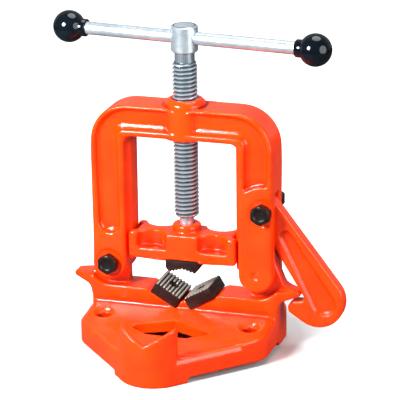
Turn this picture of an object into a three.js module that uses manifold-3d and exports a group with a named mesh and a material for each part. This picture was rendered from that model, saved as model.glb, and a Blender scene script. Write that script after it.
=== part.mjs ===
// Hinged-yoke pipe vise for a workbench, closed, with its latch hooked under the base.
// Millimetres. X runs from leg to leg, Y along the pipe with the front at -Y, Z up.
// The origin lies on the bench straight below the clamping screw.
import * as THREE from 'three';
import { mergeVertices } from 'three/addons/utils/BufferGeometryUtils.js';
import Module from 'manifold-3d';

const wasm = await Module();
wasm.setup();

// Fits
const seatGap = 0.3; // between pieces that rest on each other
const runningGap = 0.5; // between pieces that slide or swing past each other
const boreGap = 0.35; // radial, round a bolt or a turning shaft

// Casting habits
const castEdge = 2; // rounding along the edges of the larger castings
const castEdgeSmall = 1.3; // the same on the smaller castings

// Base plate
const hingeX = 59.2; // from the screw to the middle of a leg
const noseFront = -111.5;
const noseRadius = 27;
const plateAngle = THREE.MathUtils.degToRad(47); // of the slanting front edges, from X
const plateSide = 15.8; // plate past the middle of a leg
const plateHalfWidth = hingeX + plateSide;
const plateBack = 26;
const plateShoulderRadius = 20;
const plateBackRadius = 9;
const plateFloor = 21; // top of the flat nose
const plateRounding = 4.5;
const plateSkin = 7; // thickness left round and above the hollow underside
const landHeight = 4; // the plate stands on two lands of this height
const noseLandBack = -92;
const rearLandFront = -3;
const skirtTop = 26.5; // where the sloping skirt meets the wall
const skirtFoot = -58; // where it runs out on the nose
const holeInset = 16; // from the plate's side
const holeX = plateHalfWidth - holeInset;
const holeY = -31;
const holeRadius = 5.6;
const holeSeatRadius = 8;
const holeSeatZ = 22.6;

// Bender window in the plate and the pocket around it
const bendFront = -56.5;
const bendFrontHalf = 16;
const bendSideX = 33;
const bendSideY = -46;
const bendBack = -31;

// Pipe rest on the nose
const restThickness = 5.5;
const restHalf = 22;
const restBack = -93;
const restApex = 32.8;
const restNotchHalf = 19.5;

// Wall with the V seat
const wallHalf = 13;
const wallTop = 40.3;
const seatAngle = Math.PI / 6;
const seatBottomX = 6.1;
const seatBottomZ = 26.6;
const ribTop = 33;
const hornReach = 17; // tip of a horn past the plate's side
const hornTip = plateHalfWidth + hornReach;
const hornTipHalf = 5.5;
const hornRootUnder = 38.6;
const hornTipUnder = 43;
const hornTipTop = 47.2;
const hornRootTop = 47;
const hornRootReach = 2;
const hornRoot = plateHalfWidth + hornRootReach;

// Hinge on the left, matching leg end on the right
const hingeZ = 60;
const scallopRadius = 20; // round hollow in the wall below each leg
const lugHalf = 5.8;
const lugRadius = 12.4;
const tongueTop = 76; // the right lug guides the free leg as it closes
const tongueInner = hingeX - 6.6;
const tongueOuter = hingeX + 10.3;

// Yoke
const yokeHalf = 16; // half its thickness along the pipe
const legEndRadius = 13.8;
const legDraft = 3.5; // a leg is this much narrower at its top
const legOuterTop = hingeX + legEndRadius - legDraft;
const windowHalf = hingeX - legEndRadius;
const windowTop = 163.6;
const windowCorner = 6;
const yokeTop = 186.3;
const yokeShoulder = 28;
const bossRadius = 16;
const bossRise = 7.5; // boss above the yoke
const bossTop = yokeTop + bossRise;
const bossBottom = 162.4;
const bossChamfer = 3;
const forkHalf = lugHalf + runningGap;
const hingeForkTop = 82;
const latchForkTop = 124.5;
const recessDepth = 5;
const recessFlare = 4;
const recessEnd = 88; // lower end of the recess on the hinge leg
const rimOuter = 6.5;
const rimInner = 4;
const spotFaceDepth = 1;
const spotFaceRadius = 11.5;
const dimpleRadius = 3.4;
const dimpleDepth = 1.2;
const railHeight = 3.4;
const railBottom = 62;

// Latch
const latchX = hingeX + 5.3;
const latchZ = 111.5;
const eyeRadius = 10.2;
const heelX = hornTip + 13.4;
const heelZ = 40.3;
const heelRadius = 21.3;
const latchPadRadius = 21; // round pad on the leg about the latch bolt
const throat = [hornTip + 4.8, 39.6];
const lipTip = [hornTip - 6.2, 39.2];
const toeTip = [hornTip - 10.2, 34.4];
const toeBottom = [hornTip - 9.2, 29.6];
const toeRounding = 2;
const latchPocketDepth = 3;
const latchPocketHeel = [5, -1.3]; // from the heel's centre
const latchPocketHeelRadius = 7.4;
const latchPocketTop = [-24.9, 50.7];
const latchPocketTopRadius = 2.9;

// Bolts
const boltRadius = 5;
const boltHeadAcross = 16.5; // across the corners
const boltHeadHeight = 7.2;
const nutHeight = 8;
const boltTail = 2.5;
const washerThickness = 2.2;
const washerRadius = 8.4;
const washerSplit = 1.4;

// Screw
const screwRadius = 9.65;
const headRadius = 10.3;
const neckBottom = bossTop + 28.7;
const headBottom = neckBottom + 7.7;
const screwTop = headBottom + 20.4;
const neckRadius = 7.7;
const threadBottom = 99.4;
const threadChamfer = 2.4;
const journalRadius = 5.5;
const journalBottom = 75.8;
const grooveRadius = 3.9;

// Crosshead
const crossheadHalf = windowHalf - 2.2;
const crossheadThick = 15; // half its thickness along the pipe
const crossheadTop = 87.4;
const crossheadEnd = 66.2; // underside at the ends
const crossheadBottom = 65; // underside in the middle
const crossheadMiddle = 17;
const flangeTop = 74.5;
const hubRadius = 11.3;
const hubTop = 93.6;
const scoopX = 24.5;
const scoopRadius = 12.6;
const scoopFloor = 5; // half the web left between the front and back scoops
const grooveDepth = 6.8; // groove's floor to the yoke's inner face
const grooveFloor = windowHalf - grooveDepth;
const grooveHalf = 6.8;
const grooveSlope = 0.587;
const pinRadius = 2;
const pinZ = 84;
const pinFront = -5;
const pinBack = 9;
const jawSeat = 66.8;

// Jaws
const jawLength = 29.2; // along the pipe
const lowerJawWidth = 23;
const lowerJawThick = 10;
const lowerJawTeeth = 8;
const upperJawHalf = 13.2;
const upperJawBottom = 56.6;
const upperJawVee = 3; // rise of the shallow vee
const upperJawCorner = [2.4, 3.6]; // chamfer at the lower corners
const upperJawTeeth = 4; // on each side
const toothDepth = 1.3;
const toothCrest = 0.22; // flat share of a tooth's pitch
const jawScrewRadius = 2.5;
const jawScrewHead = 3.9;
const jawScrewHeadHeight = 3;
const jawScrewSunk = 4.6; // head seat below the teeth
const jawScrewGrip = 5.5; // thread in the metal behind the jaw

// Handle
const barRadius = 5;
const barZ = headBottom + 10.8;
const barHalf = 100.5; // middle of the bar to the middle of a knob
const barShift = 4.35;
const barAngle = -0.104;
const knobRadius = 12.5;
const collarRadius = 6.8;
const collarReach = 15.3;

function solid(geometry) {
  const bare = geometry.clone();
  bare.deleteAttribute('normal');
  bare.deleteAttribute('uv');
  const merged = mergeVertices(bare, 1e-4);
  const triVerts = new Uint32Array(merged.index.array);
  const vertProperties = new Float32Array(merged.attributes.position.array);
  const mesh = new wasm.Mesh({ numProp: 3, vertProperties, triVerts });
  return new wasm.Manifold(mesh);
}

function extruded(shape, length, edge, segments, steps) {
  const settings = {
    depth: length - 2 * edge,
    curveSegments: segments,
    bevelEnabled: edge > 0,
    bevelThickness: edge,
    bevelSize: edge,
    bevelOffset: -edge,
    bevelSegments: steps,
  };
  return new THREE.ExtrudeGeometry(shape, settings).translate(0, 0, edge);
}

function alongZ(shape, bottom, top, edge = 0, segments = 6) {
  return solid(extruded(shape, top - bottom, edge, segments, 2).translate(0, 0, bottom));
}

const towardFront = new THREE.Matrix4().makeBasis(
  new THREE.Vector3(1, 0, 0),
  new THREE.Vector3(0, 0, 1),
  new THREE.Vector3(0, -1, 0),
);

function alongY(shape, half, edge = 0, segments = 6) {
  const geometry = extruded(shape, 2 * half, edge, segments, 2);
  return solid(geometry.translate(0, 0, -half).applyMatrix4(towardFront));
}

const towardRight = new THREE.Matrix4().makeBasis(
  new THREE.Vector3(0, 1, 0),
  new THREE.Vector3(0, 0, 1),
  new THREE.Vector3(1, 0, 0),
);

function alongX(shape, half, edge = 0) {
  const geometry = extruded(shape, 2 * half, edge, 6, 2);
  return solid(geometry.translate(0, 0, -half).applyMatrix4(towardRight));
}

// A cutter whose floor has the given outline and whose walls flare out on the way up.
function hollow(shape, depth, flare, steps = 2) {
  const settings = {
    depth: 20,
    curveSegments: 5,
    bevelThickness: depth,
    bevelSize: flare,
    bevelSegments: steps,
  };
  return new THREE.ExtrudeGeometry(shape, settings);
}

function hollowInFront(shape, half, depth, flare) {
  const geometry = hollow(shape, depth, flare).applyMatrix4(towardFront);
  return solid(geometry.translate(0, -half, 0));
}

function bothFaces(cutter) {
  return cutter.add(cutter.mirror([0, 1, 0]));
}

function turned(profile, segments = 30) {
  const points = profile.map(([radius, height]) => new THREE.Vector2(radius, height));
  return solid(new THREE.LatheGeometry(points, segments).rotateX(Math.PI / 2));
}

function rod(radius, from, to, segments = 28) {
  const start = new THREE.Vector3(...from);
  const run = new THREE.Vector3(...to).sub(start);
  const length = run.length();
  const turn = new THREE.Quaternion().setFromUnitVectors(new THREE.Vector3(0, 1, 0), run.normalize());
  const geometry = new THREE.CylinderGeometry(radius, radius, length, segments).translate(0, length / 2, 0);
  return solid(geometry.applyQuaternion(turn).translate(start.x, start.y, start.z));
}

function rodAlongY(radius, x, z, front, back, segments = 28) {
  return rod(radius, [x, front, z], [x, back, z], segments);
}

function block([left, right], [front, back], [bottom, top]) {
  const geometry = new THREE.BoxGeometry(right - left, back - front, top - bottom);
  return solid(geometry.translate((left + right) / 2, (front + back) / 2, (bottom + top) / 2));
}

// Runs the path to a corner, rounds it and leaves it pointing at the next point.
function roundCorner(path, corner, next, radius) {
  const here = new THREE.Vector2(...corner);
  if (radius === 0) {
    path.lineTo(here.x, here.y);
    return;
  }
  const back = path.currentPoint.clone().sub(here).normalize();
  const ahead = new THREE.Vector2(...next).sub(here).normalize();
  const half = Math.acos(THREE.MathUtils.clamp(back.dot(ahead), -1, 1)) / 2;
  const reach = radius / Math.tan(half);
  const start = here.clone().addScaledVector(back, reach);
  const end = here.clone().addScaledVector(ahead, reach);
  const middle = back.clone().add(ahead).normalize();
  const centre = here.clone().addScaledVector(middle, radius / Math.sin(half));
  const clockwise = back.cross(ahead) > 0;
  path.lineTo(start.x, start.y);
  path.absarc(centre.x, centre.y, radius, start.sub(centre).angle(), end.sub(centre).angle(), clockwise);
}

function filleted(corners) {
  const [firstX, firstY] = corners[0];
  const [lastX, lastY] = corners[corners.length - 1];
  const shape = new THREE.Shape();
  shape.moveTo((firstX + lastX) / 2, (firstY + lastY) / 2);
  corners.forEach(([x, y, radius = 0], index) => {
    const next = corners[(index + 1) % corners.length];
    roundCorner(shape, [x, y], [next[0], next[1]], radius);
  });
  shape.closePath();
  return shape;
}

// Direction, seen from both centres, in which a straight edge touches two circles on their left.
function sharedTangent(x0, y0, radius0, x1, y1, radius1) {
  const span = Math.hypot(x1 - x0, y1 - y0);
  return Math.atan2(y1 - y0, x1 - x0) + Math.acos((radius0 - radius1) / span);
}

function taperedSlot(x0, y0, radius0, x1, y1, radius1) {
  const left = sharedTangent(x0, y0, radius0, x1, y1, radius1);
  const axis = Math.atan2(y1 - y0, x1 - x0);
  const right = 2 * axis - left;
  const shape = new THREE.Shape();
  shape.absarc(x0, y0, radius0, left, right + 2 * Math.PI, false);
  shape.absarc(x1, y1, radius1, right, left, false);
  shape.closePath();
  return shape;
}

function plateOutline(inset) {
  const radius = noseRadius - inset;
  const apex = noseFront + noseRadius - radius / Math.cos(plateAngle);
  const side = plateHalfWidth - inset;
  const shoulder = apex + side * Math.tan(plateAngle);
  const rear = plateBack - inset;
  const shoulderRadius = plateShoulderRadius - inset;
  const rearRadius = plateBackRadius - inset;
  return filleted([
    [0, apex, radius],
    [side, shoulder, shoulderRadius],
    [side, rear, rearRadius],
    [-side, rear, rearRadius],
    [-side, shoulder, shoulderRadius],
  ]);
}

function makePlate() {
  const slab = alongZ(plateOutline(0), -2 * plateRounding, plateFloor, plateRounding);
  const skirtOutline = filleted([
    [plateBack, plateFloor / 2],
    [plateBack, skirtTop],
    [-wallHalf, skirtTop],
    [skirtFoot, plateFloor],
    [skirtFoot, plateFloor / 2],
  ]);
  const skirt = alongX(skirtOutline, plateHalfWidth, plateRounding);
  const upright = alongZ(plateOutline(0), 0, skirtTop + 1);
  const bendWindow = alongZ(
    filleted([
      [0, bendBack, 3],
      [-bendSideX, bendSideY, 2],
      [-bendFrontHalf, bendFront, 6],
      [bendFrontHalf, bendFront, 6],
      [bendSideX, bendSideY, 2],
    ]),
    0,
    skirtTop + 1,
  );
  const below = block([-100, 100], [-150, 60], [-20, 0]);
  const relief = block([-100, 100], [noseLandBack, rearLandFront], [-1, landHeight]);
  const reach = block([-100, 100], [-150, rearLandFront - plateSkin / 2], [-1, plateFloor - plateSkin]);
  const underside = alongZ(plateOutline(plateSkin), -1, plateFloor).intersect(reach);
  let plate = slab.add(skirt.intersect(upright)).subtract(below);
  plate = plate.subtract(bendWindow).subtract(relief).subtract(underside);
  [-holeX, holeX].forEach((x) => {
    plate = plate.subtract(rod(holeRadius, [x, holeY, -1], [x, holeY, skirtTop + 1]));
    plate = plate.subtract(rod(holeSeatRadius, [x, holeY, holeSeatZ], [x, holeY, skirtTop + 1]));
  });
  return plate;
}

function makeRest() {
  const centre = noseFront + noseRadius;
  const peak = restApex + restNotchHalf * Math.tan(seatAngle);
  const ring = rod(noseRadius, [0, centre, plateFloor / 2], [0, centre, peak], 48);
  const core = rod(noseRadius - restThickness, [0, centre, 0], [0, centre, peak + 1], 48);
  const keep = block([-restHalf, restHalf], [noseFront - 1, restBack], [0, peak + 1]);
  const notch = alongY(
    filleted([
      [0, restApex],
      [restNotchHalf, peak],
      [restNotchHalf, peak + 5],
      [-restNotchHalf, peak + 5],
      [-restNotchHalf, peak],
    ]),
    150,
  );
  return ring.subtract(core).intersect(keep).subtract(notch);
}

function wallOutline() {
  const shape = new THREE.Shape();
  const seatTopX = seatBottomX + (wallTop - seatBottomZ) / Math.tan(seatAngle);
  const ribHalf = seatBottomX - (ribTop - seatBottomZ) * Math.tan(seatAngle);
  const hollowStart = Math.asin((hornRootTop - hingeZ) / scallopRadius);
  const hollowEnd = -Math.PI - Math.asin((wallTop - hingeZ) / scallopRadius);
  const rightHalf = [
    [plateHalfWidth, plateFloor / 2],
    [plateHalfWidth, hornRootUnder - 9],
  ];
  shape.moveTo(-plateHalfWidth, plateFloor / 2);
  rightHalf.forEach(([x, z]) => shape.lineTo(x, z));
  roundCorner(shape, [hornRoot, hornRootUnder], [hornTip, hornTipUnder], 5);
  roundCorner(shape, [hornTip, hornTipUnder], [hornTip, hornTipTop], 1.2);
  roundCorner(shape, [hornTip, hornTipTop], [hornRoot, hornRootTop], 2);
  shape.absarc(hingeX, hingeZ, scallopRadius, hollowStart, hollowEnd, true);
  shape.lineTo(seatTopX, wallTop);
  shape.lineTo(seatBottomX, seatBottomZ);
  shape.lineTo(ribHalf, ribTop);
  shape.lineTo(-ribHalf, ribTop);
  shape.lineTo(-seatBottomX, seatBottomZ);
  shape.lineTo(-seatTopX, wallTop);
  shape.absarc(-hingeX, hingeZ, scallopRadius, -Math.PI - hollowEnd, Math.PI - hollowStart, true);
  roundCorner(shape, [-hornTip, hornTipTop], [-hornTip, hornTipUnder], 2);
  roundCorner(shape, [-hornTip, hornTipUnder], [-hornRoot, hornRootUnder], 1.2);
  roundCorner(shape, [-hornRoot, hornRootUnder], [-plateHalfWidth, hornRootUnder - 9], 5);
  shape.lineTo(-plateHalfWidth, hornRootUnder - 9);
  shape.closePath();
  return shape;
}

function makeWall() {
  const plan = filleted([
    [hornTip + 0.5, -hornTipHalf, 3],
    [plateHalfWidth - 1, -wallHalf, 12],
    [1 - plateHalfWidth, -wallHalf, 12],
    [-hornTip - 0.5, -hornTipHalf, 3],
    [-hornTip - 0.5, hornTipHalf, 3],
    [1 - plateHalfWidth, wallHalf, 12],
    [plateHalfWidth - 1, wallHalf, 12],
    [hornTip + 0.5, hornTipHalf, 3],
  ]);
  const wall = alongY(wallOutline(), wallHalf + 1).intersect(alongZ(plan, 0, tongueTop));
  const hingeLug = alongY(
    filleted([
      [lugRadius - hingeX, wallTop - 8],
      [lugRadius - hingeX, hingeZ + lugRadius, lugRadius - 1],
      [-lugRadius - hingeX, hingeZ + lugRadius, lugRadius - 1],
      [-lugRadius - hingeX, hornRootTop, lugRadius - 1],
      [-lugRadius - hingeX - 15, hornRootTop],
      [-lugRadius - hingeX - 15, wallTop + 1],
      [-hingeX, wallTop - 8],
    ]),
    lugHalf,
    castEdgeSmall,
  );
  const tongue = alongY(
    filleted([
      [tongueInner, wallTop - 8],
      [hingeX, wallTop - 8],
      [hornTip - 4, hornTipTop - 4],
      [hornTip - 4, hornTipTop + 0.5],
      [tongueOuter + 10, hornTipTop + 4, 8],
      [tongueOuter, tongueTop, 6],
      [tongueInner, tongueTop, 7],
    ]),
    lugHalf,
    castEdgeSmall,
  );
  return wall.add(hingeLug).add(tongue);
}

// Moves something built on the left of Z, above z = 0, on to the right-hand seat of the base.
function onSeat(piece) {
  const along = seatGap + lowerJawWidth / 2;
  const x = seatBottomX + along * Math.cos(seatAngle) - seatGap * Math.sin(seatAngle);
  const z = seatBottomZ + along * Math.sin(seatAngle) + seatGap * Math.cos(seatAngle);
  return piece.rotate([0, -THREE.MathUtils.radToDeg(seatAngle), 0]).translate([x, 0, z]);
}

function makeBase() {
  let base = makePlate().add(makeRest()).add(makeWall());
  base = base.subtract(rodAlongY(boltRadius + boreGap, -hingeX, hingeZ, -20, 20));
  const depth = jawScrewGrip + 2 * seatGap;
  const tapped = onSeat(rod(jawScrewRadius + boreGap, [0, 0, -depth], [0, 0, 1], 20));
  return base.subtract(tapped).subtract(tapped.mirror([1, 0, 0]));
}

// Saw-tooth points from one end of a toothed face to the other; the valleys lie along inward.
function toothPoints(start, end, inward, count) {
  const points = [];
  for (let tooth = 0; tooth < count; tooth += 1) {
    const stations = [0, 0.5 - toothCrest / 2, 0.5 + toothCrest / 2];
    stations.forEach((station, index) => {
      const share = (tooth + station) / count;
      const sunk = index === 0 ? toothDepth : 0;
      const x = start[0] + (end[0] - start[0]) * share + inward[0] * sunk;
      const y = start[1] + (end[1] - start[1]) * share + inward[1] * sunk;
      points.push([x, y]);
    });
  }
  points.push([end[0] + inward[0] * toothDepth, end[1] + inward[1] * toothDepth]);
  return points;
}

function makeLowerJaw() {
  const half = lowerJawWidth / 2;
  const teeth = toothPoints([half, lowerJawThick], [-half, lowerJawThick], [0, -1], lowerJawTeeth);
  const body = alongY(filleted([[-half, 0], [half, 0], ...teeth]), jawLength / 2);
  const seat = lowerJawThick - jawScrewSunk;
  const hole = rod(jawScrewRadius + boreGap, [0, 0, -1], [0, 0, lowerJawThick], 24);
  const sink = rod(jawScrewHead + boreGap, [0, 0, seat], [0, 0, lowerJawThick + 1], 32);
  return onSeat(body.subtract(hole).subtract(sink));
}

function jawScrew(headSeat, grip) {
  const rim = 0.5;
  const socket = 1.9;
  const top = headSeat + jawScrewHeadHeight;
  const body = turned([
    [0, -grip],
    [jawScrewRadius, -grip],
    [jawScrewRadius, headSeat],
    [jawScrewHead, headSeat],
    [jawScrewHead, top - rim],
    [jawScrewHead - rim, top],
    [0, top],
  ], 28);
  const hexagon = rod(socket, [0, 0, top - 1.8], [0, 0, top + 1], 6);
  return body.subtract(hexagon);
}

function makeLowerJawScrew() {
  return onSeat(jawScrew(lowerJawThick - jawScrewSunk + seatGap, jawScrewGrip));
}

function yokeOutline() {
  const shape = new THREE.Shape();
  shape.absarc(hingeX, hingeZ, legEndRadius, Math.PI, 2 * Math.PI, false);
  roundCorner(shape, [legOuterTop, yokeTop], [-legOuterTop, yokeTop], yokeShoulder);
  roundCorner(shape, [-legOuterTop, yokeTop], [-hingeX - legEndRadius, hingeZ], yokeShoulder);
  shape.absarc(-hingeX, hingeZ, legEndRadius, Math.PI, 2 * Math.PI, false);
  roundCorner(shape, [-windowHalf, windowTop], [windowHalf, windowTop], windowCorner);
  roundCorner(shape, [windowHalf, windowTop], [windowHalf, hingeZ], windowCorner);
  shape.closePath();
  return shape;
}

function recessOutline(end) {
  const outer = legOuterTop - rimOuter;
  const inner = windowHalf + rimInner + recessFlare;
  const top = yokeTop - rimOuter;
  const bottom = windowTop + rimInner + recessFlare;
  return filleted([
    [-outer, end, 4.5],
    [-inner, end, 4.5],
    [-inner, bottom, windowCorner + 3],
    [0, bottom],
    [0, top],
    [-outer, top, yokeShoulder - rimOuter],
  ]);
}

function rail() {
  const crown = windowHalf - railHeight;
  const clear = runningGap * Math.hypot(1, grooveSlope);
  const crownHalf = grooveHalf + (crown - grooveFloor) * grooveSlope - clear;
  const rootHalf = crownHalf + (railHeight + 1) * grooveSlope;
  const outline = filleted([
    [crown, -crownHalf],
    [windowHalf + 1, -rootHalf],
    [windowHalf + 1, rootHalf],
    [crown, crownHalf],
  ]);
  return alongZ(outline, railBottom, windowTop - 2);
}

function makeYoke() {
  const pad = rodAlongY(latchPadRadius, latchX, latchZ, -30, 30, 44);
  const leftRecess = hollowInFront(recessOutline(recessEnd), yokeHalf, recessDepth, recessFlare);
  const rightFloor = recessOutline(latchZ + recessFlare);
  const rightRecess = hollowInFront(rightFloor, yokeHalf, recessDepth, recessFlare).mirror([1, 0, 0]);
  const recesses = bothFaces(leftRecess.add(rightRecess.subtract(pad)));
  const boss = turned([
    [0, bossBottom],
    [bossRadius, bossBottom],
    [bossRadius, bossTop - bossChamfer],
    [bossRadius - bossChamfer, bossTop],
    [0, bossTop],
  ]);
  const rails = rail().add(rail().mirror([1, 0, 0]));
  let yoke = alongY(yokeOutline(), yokeHalf, castEdge).subtract(recesses).add(boss).add(rails);
  const hingeWall = hingeX - lugRadius - runningGap;
  const latchWall = tongueInner - 2 * runningGap;
  const fork = [-forkHalf, forkHalf];
  yoke = yoke.subtract(block([-100, -hingeWall], fork, [0, hingeForkTop]));
  yoke = yoke.subtract(block([latchWall, 100], fork, [0, latchForkTop]));
  yoke = yoke.subtract(rod(screwRadius + boreGap, [0, 0, bossBottom - 1], [0, 0, bossTop + 1], 48));
  [[-hingeX, hingeZ], [latchX, latchZ]].forEach(([x, z]) => {
    yoke = yoke.subtract(rodAlongY(boltRadius + boreGap, x, z, -30, 30));
    yoke = yoke.subtract(rodAlongY(spotFaceRadius, x, z, -30, spotFaceDepth - yokeHalf, 32));
    yoke = yoke.subtract(rodAlongY(spotFaceRadius, x, z, yokeHalf - spotFaceDepth, 30, 32));
  });
  return yoke.subtract(rodAlongY(dimpleRadius, hingeX, hingeZ, -30, dimpleDepth - yokeHalf, 24));
}

function latchOutline() {
  const outerSide = sharedTangent(latchX, latchZ, eyeRadius, heelX, heelZ, heelRadius);
  const down = Math.atan2(throat[1] - latchZ, throat[0] - latchX);
  const reach = Math.hypot(throat[0] - latchX, throat[1] - latchZ);
  const innerSide = down - Math.acos(eyeRadius / reach) + 2 * Math.PI;
  const toeAngle = Math.atan2(toeBottom[1] - heelZ, toeBottom[0] - heelX);
  const toeSpan = Math.hypot(toeBottom[0] - heelX, toeBottom[1] - heelZ);
  const heelStart = toeAngle + Math.acos(heelRadius / toeSpan);
  const heelPoint = [heelX + heelRadius * Math.cos(heelStart), heelZ + heelRadius * Math.sin(heelStart)];
  const shape = new THREE.Shape();
  shape.absarc(latchX, latchZ, eyeRadius, outerSide, innerSide, false);
  roundCorner(shape, throat, lipTip, 2.5);
  roundCorner(shape, lipTip, toeTip, toeRounding);
  roundCorner(shape, toeTip, toeBottom, toeRounding);
  roundCorner(shape, toeBottom, heelPoint, toeRounding);
  shape.absarc(heelX, heelZ, heelRadius, heelStart, outerSide, false);
  shape.closePath();
  return shape;
}

function makeLatch() {
  const pocket = taperedSlot(
    heelX + latchPocketHeel[0],
    heelZ + latchPocketHeel[1],
    latchPocketHeelRadius,
    heelX + latchPocketTop[0],
    heelZ + latchPocketTop[1],
    latchPocketTopRadius,
  );
  const sunk = hollowInFront(pocket, lugHalf, latchPocketDepth, 2);
  const latch = alongY(latchOutline(), lugHalf, castEdgeSmall, 8).subtract(bothFaces(sunk));
  return latch.subtract(rodAlongY(boltRadius + boreGap, latchX, latchZ, -20, 20));
}

function hexagonAlongY(x, z, front, back) {
  return rodAlongY(boltHeadAcross / 2, x, z, front, back, 6);
}

const headSeat = spotFaceDepth - yokeHalf - seatGap;
const washerSeat = yokeHalf - spotFaceDepth + seatGap;
const nutSeat = washerSeat + washerThickness + seatGap;

function makeBolt(x, z) {
  const tail = nutSeat + nutHeight + boltTail;
  const shank = rodAlongY(boltRadius, x, z, headSeat - 1, tail);
  return shank.add(hexagonAlongY(x, z, headSeat - boltHeadHeight, headSeat));
}

function makeWasher(x, z) {
  const ring = rodAlongY(washerRadius, x, z, washerSeat, washerSeat + washerThickness, 40);
  const hole = rodAlongY(boltRadius + boreGap, x, z, 0, 40);
  const split = block([x - washerSplit / 2, x + washerSplit / 2], [0, 40], [z, z + 2 * washerRadius]);
  return ring.subtract(hole).subtract(split);
}

function makeNut(x, z) {
  const body = hexagonAlongY(x, z, nutSeat, nutSeat + nutHeight);
  return body.subtract(rodAlongY(boltRadius + boreGap, x, z, 0, 60));
}

function onBar(piece) {
  const x = barShift * Math.cos(barAngle);
  const y = barShift * Math.sin(barAngle);
  return piece.rotate([0, 90, THREE.MathUtils.radToDeg(barAngle)]).translate([x, y, barZ]);
}

function makeScrew() {
  const edge = 1;
  const grooveHalfHeight = pinRadius + seatGap;
  const shoulder = threadBottom - threadChamfer;
  const body = turned([
    [0, journalBottom],
    [journalRadius - edge, journalBottom],
    [journalRadius, journalBottom + edge],
    [journalRadius, pinZ - grooveHalfHeight],
    [grooveRadius, pinZ - grooveHalfHeight],
    [grooveRadius, pinZ + grooveHalfHeight],
    [journalRadius, pinZ + grooveHalfHeight],
    [journalRadius, shoulder],
    [screwRadius - threadChamfer, shoulder],
    [screwRadius, threadBottom],
    [screwRadius, neckBottom],
    [neckRadius, neckBottom],
    [neckRadius, headBottom],
    [headRadius - edge, headBottom],
    [headRadius, headBottom + edge],
    [headRadius, screwTop - edge],
    [headRadius - edge, screwTop],
    [0, screwTop],
  ]);
  return body.subtract(onBar(rod(barRadius + boreGap, [0, 0, -30], [0, 0, 30])));
}

function makeBar() {
  return onBar(rod(barRadius, [0, 0, -barHalf], [0, 0, barHalf]));
}

function makeKnob(side) {
  const start = Math.asin(collarRadius / knobRadius);
  const boreRadius = barRadius + seatGap;
  const profile = [
    [0, seatGap],
    [boreRadius, seatGap],
    [boreRadius, -collarReach],
    [collarRadius, -collarReach],
  ];
  const steps = 8;
  for (let step = 0; step <= steps; step += 1) {
    const angle = start + ((Math.PI - start) * step) / steps;
    profile.push([knobRadius * Math.sin(angle), -knobRadius * Math.cos(angle)]);
  }
  profile[profile.length - 1][0] = 0;
  const knob = turned(profile, 26).translate([0, 0, barHalf]);
  return onBar(side > 0 ? knob : knob.mirror([0, 0, 1]));
}

function makeCrosshead() {
  const outline = filleted([
    [-crossheadHalf, crossheadEnd, 2],
    [-crossheadMiddle, crossheadBottom],
    [crossheadMiddle, crossheadBottom],
    [crossheadHalf, crossheadEnd, 2],
    [crossheadHalf, crossheadTop, 2],
    [-crossheadHalf, crossheadTop, 2],
  ]);
  const scoopY = -scoopFloor - scoopRadius;
  const scoop = rod(scoopRadius, [scoopX, scoopY, flangeTop], [scoopX, scoopY, crossheadTop + 1], 40);
  const mouthX = crossheadHalf + 1;
  const mouthHalf = grooveHalf + (mouthX - grooveFloor) * grooveSlope;
  const groove = alongZ(
    filleted([
      [grooveFloor, -grooveHalf],
      [mouthX, -mouthHalf],
      [mouthX, mouthHalf],
      [grooveFloor, grooveHalf],
    ]),
    0,
    crossheadTop + 1,
  );
  const hub = turned([
    [0, crossheadEnd],
    [hubRadius, crossheadEnd],
    [hubRadius, hubTop - castEdgeSmall],
    [hubRadius - castEdgeSmall, hubTop],
    [0, hubTop],
  ]);
  const scoops = bothFaces(scoop.add(scoop.mirror([1, 0, 0])));
  const jawSlot = block([-upperJawHalf - seatGap, upperJawHalf + seatGap], [-20, 20], [0, jawSeat]);
  let crosshead = alongY(outline, crossheadThick, castEdgeSmall).subtract(scoops).add(hub);
  crosshead = crosshead.subtract(groove).subtract(groove.mirror([1, 0, 0])).subtract(jawSlot);
  const floor = journalBottom - seatGap;
  crosshead = crosshead.subtract(rod(journalRadius + boreGap, [0, 0, floor], [0, 0, hubTop + 1]));
  const depth = jawScrewGrip + 2 * seatGap;
  crosshead = crosshead.subtract(rod(jawScrewRadius + boreGap, [0, 0, 0], [0, 0, jawSeat + depth], 20));
  const pinX = grooveRadius + pinRadius + seatGap;
  [-pinX, pinX].forEach((x) => {
    crosshead = crosshead.subtract(rodAlongY(pinRadius + seatGap, x, pinZ, pinFront - seatGap, 20, 20));
  });
  return crosshead;
}

function makePin(side) {
  const x = side * (grooveRadius + pinRadius + seatGap);
  return rodAlongY(pinRadius, x, pinZ, pinFront, pinBack, 20);
}

const upperJawTop = jawSeat - seatGap;
const upperScrewSeat = upperJawBottom + upperJawVee + jawScrewSunk;

function makeUpperJaw() {
  const [corner, rise] = upperJawCorner;
  const foot = upperJawHalf - corner;
  const slope = Math.atan2(upperJawVee, foot);
  const apex = [0, upperJawBottom + upperJawVee];
  const inward = [Math.sin(slope), Math.cos(slope)];
  const leftTeeth = toothPoints([-foot, upperJawBottom], apex, [-inward[0], inward[1]], upperJawTeeth);
  const rightTeeth = toothPoints(apex, [foot, upperJawBottom], inward, upperJawTeeth);
  const shared = [0, apex[1] + toothDepth / Math.cos(slope)];
  const outline = filleted([
    [-upperJawHalf, upperJawTop],
    [-upperJawHalf, upperJawBottom + rise],
    ...leftTeeth.slice(0, -1),
    shared,
    ...rightTeeth.slice(1),
    [upperJawHalf, upperJawBottom + rise],
    [upperJawHalf, upperJawTop],
  ]);
  const hole = rod(jawScrewRadius + boreGap, [0, 0, 0], [0, 0, upperJawTop + 1], 24);
  const sink = rod(jawScrewHead + boreGap, [0, 0, 0], [0, 0, upperScrewSeat], 32);
  return alongY(outline, jawLength / 2).subtract(hole).subtract(sink);
}

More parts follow.
